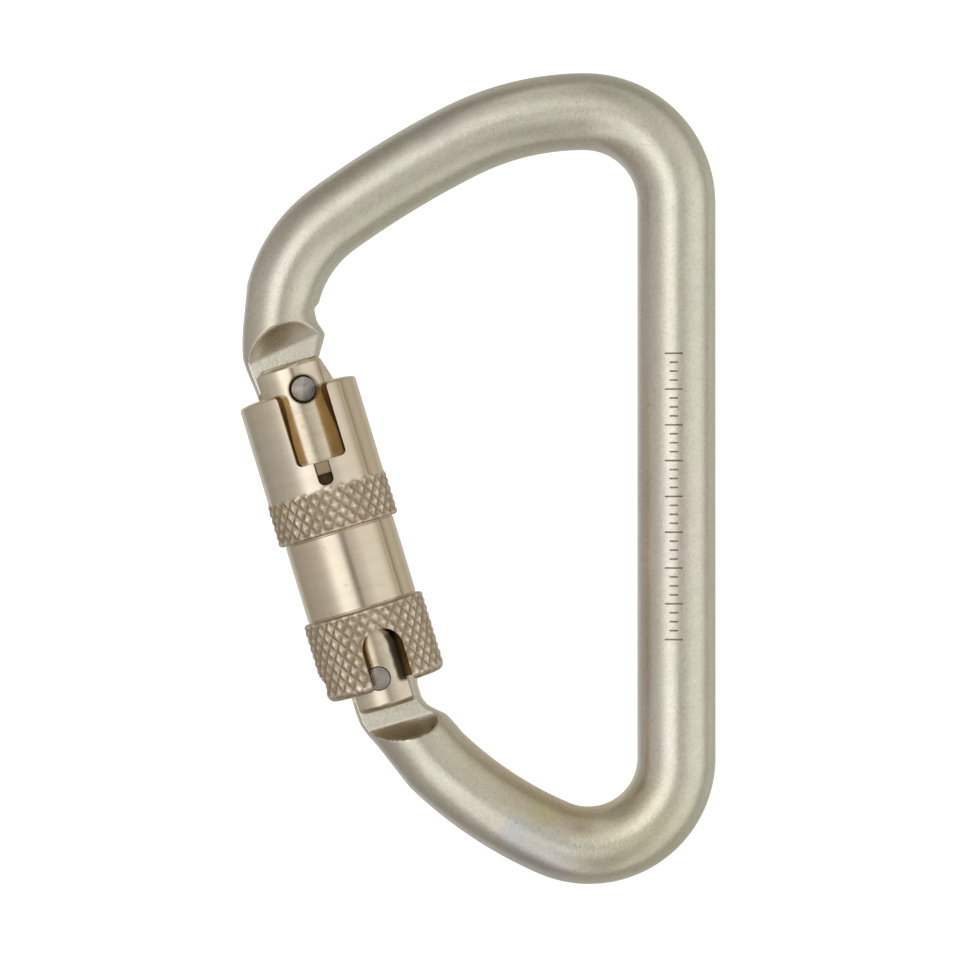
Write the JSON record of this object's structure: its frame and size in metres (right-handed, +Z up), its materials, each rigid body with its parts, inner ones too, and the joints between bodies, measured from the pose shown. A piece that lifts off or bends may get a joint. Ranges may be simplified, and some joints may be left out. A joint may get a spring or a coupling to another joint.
{
  "type": "locking carabiner",
  "caption": "Steel offset-D carabiner with a hinged gate and a knurled twist-lock sleeve that turns as the gate opens.",
  "frame": {"origin": "inside of the wide bow, where the load line meets it, in the middle of the bar's thickness", "axes": "+Z up the load line towards the wide bow's crown, +X from the gate to the spine, +Y through the thickness, away from the face with the sleeve's slots"},
  "size_m": [0.0728, 0.019, 0.1244],
  "materials": {
    "body_steel": "satin plated",
    "gate_steel": "bright gold-tinted plating",
    "sleeve_steel": "turned and knurled, warm plating",
    "rivet_steel": "plain turned",
    "spring_steel": "drawn wire",
    "bush_brass": "turned"
  },
  "bodies": {
    "frame": {"body": "body_steel"},
    "gate": {"gate": "gate_steel", "nose_rivet": "rivet_steel", "hinge_rivet": "rivet_steel", "gate_spring": "spring_steel", "retaining_ring": "spring_steel", "sleeve_spring": "spring_steel"},
    "sleeve": {"locking_sleeve": "sleeve_steel", "spring_bush": "bush_brass"},
    "plunger": {"gate_plunger": "rivet_steel"}
  },
  "joints": [
    {"name": "gate_swing", "type": "hinge", "parent": "frame", "child": "gate", "pos_m": [-0.03232, 0, -0.08094], "axis": [0, 1, 0], "range_deg": [0, 35], "stiffness_Nm_per_rad": 0.5, "springref_deg": -17.19},
    {"name": "sleeve_twist", "type": "hinge", "parent": "gate", "child": "sleeve", "pos_m": [-0.03186, 0, -0.0808], "axis": [-0.2899, 0, 0.9571], "range_deg": [0, 90.1], "stiffness_Nm_per_rad": 0.02, "springref_deg": -28.65, "deforming": ["sleeve_spring"]},
    {"name": "plunger_slide", "type": "slide", "parent": "gate", "child": "plunger", "axis": [-0.2899, 0, 0.9571], "range_m": [0, 0.00214], "deforming": ["gate_spring"]}
  ],
  "couplings": [
    {"joint": "sleeve_twist", "follows": "gate_swing", "ratio": 2.5714},
    {"joint": "plunger_slide", "follows": "gate_swing", "m_per_rad": 0.00348}
  ]
}
